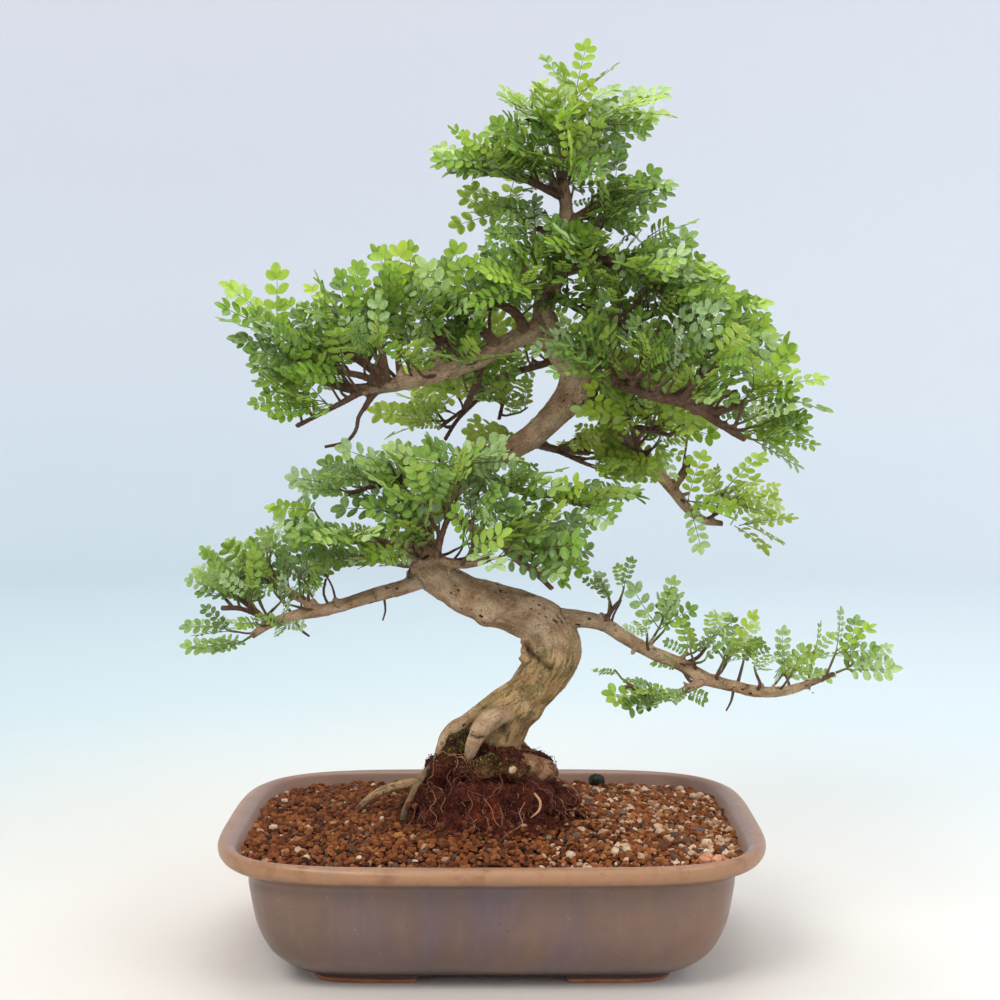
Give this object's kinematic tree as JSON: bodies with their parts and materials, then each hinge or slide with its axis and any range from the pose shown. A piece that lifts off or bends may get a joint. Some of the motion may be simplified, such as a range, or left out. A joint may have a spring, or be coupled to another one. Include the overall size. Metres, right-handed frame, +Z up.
{
  "type": "chinese pepper bonsai",
  "caption": "Winding, slanting bonsai tree with layered sprays of small pinnate leaves, rooted in granular soil in a shallow glazed oblong pot that stands on low corner feet.",
  "frame": {"origin": "on the ground, under the middle of the whole object's bounding box", "axes": "+Z up the tree, +X to the right along the pot's length as seen from the tree's front, -Y towards the viewer at the front"},
  "size_m": [0.5436, 0.3008, 0.6796],
  "materials": {
    "glaze": "satin grey-brown glaze with a violet cast, warmer and browner on the rim",
    "earth": "matt red-brown fired clay and pumice granules",
    "black_plastic": "plain black screen",
    "bark": "olive-tan bark with dark pits, rough and ridged near the roots",
    "foliage": "glossy green leaf, lighter and yellower at the tips"
  },
  "bodies": {
    "root": {"pot": "glaze", "soil": "earth", "drain_screen_left": "black_plastic", "drain_screen_right": "black_plastic", "trunk": "bark", "spray_leader": "foliage", "spray_crown_right": "foliage", "spray_crown_left": "foliage", "spray_crown_back": "foliage", "spray_crown_top_right": "foliage", "spray_crown_front": "foliage", "spray_crown_low_left": "foliage", "spray_up_right": "foliage", "spray_up_right_55": "foliage", "spray_up_front_right": "foliage", "spray_up_front": "foliage", "spray_mid_left": "foliage", "spray_mid_left_62": "foliage", "spray_mid_left_90": "foliage", "spray_mid_left_up": "foliage", "spray_mid_left_back": "foliage", "spray_mid_left_front": "foliage", "spray_mid_right_low": "foliage", "spray_mid_right_low_93": "foliage", "spray_mid_right_front": "foliage", "spray_mid_right_front_55": "foliage", "spray_mid_right_side": "foliage", "spray_back_right": "foliage", "spray_back_left": "foliage", "spray_back_low": "foliage", "spray_low_front": "foliage", "spray_low_front_left": "foliage", "spray_low_front_right": "foliage", "spray_low_up": "foliage", "spray_low_up_left": "foliage", "spray_low_right_up": "foliage", "spray_low_left": "foliage", "spray_low_left_62": "foliage", "spray_low_left_up": "foliage", "spray_low_right": "foliage", "spray_low_right_36": "foliage", "spray_low_right_60": "foliage", "spray_low_right_78": "foliage", "spray_low_right_under": "foliage"}
  },
  "joints": []
}
